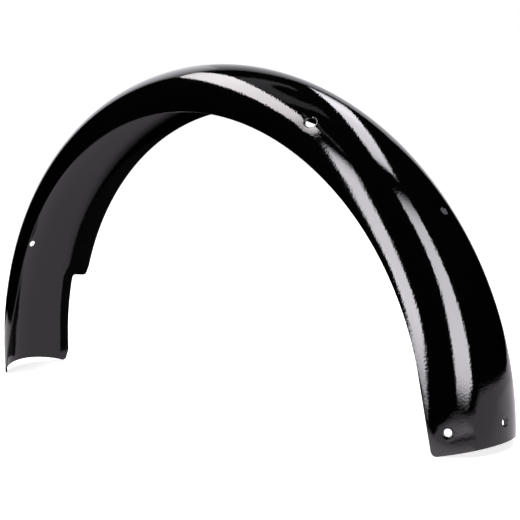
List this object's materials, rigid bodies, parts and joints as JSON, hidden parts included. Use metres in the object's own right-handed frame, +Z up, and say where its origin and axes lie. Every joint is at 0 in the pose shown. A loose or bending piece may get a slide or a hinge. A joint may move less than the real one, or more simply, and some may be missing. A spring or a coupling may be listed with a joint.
{
  "type": "motorcycle rear fender",
  "caption": "Half-round sheet-steel fender bent to an arc over a motorcycle's rear wheel, with bolt holes, larger wall holes and a stepped notch at its front end.",
  "frame": {"origin": "middle of the base, on the plane that the two ends stand on, below the wheel's axle", "axes": "+X to the rear end, +Y to the machine's right, where the notch is, +Z up; the wheel's axle runs along Y"},
  "size_m": [0.6019, 0.094, 0.3128],
  "materials": {
    "black_paint": "gloss black paint with a slight orange peel over pressed steel, inside and out"
  },
  "bodies": {
    "root": {"fender_shell": "black_paint"}
  },
  "joints": []
}
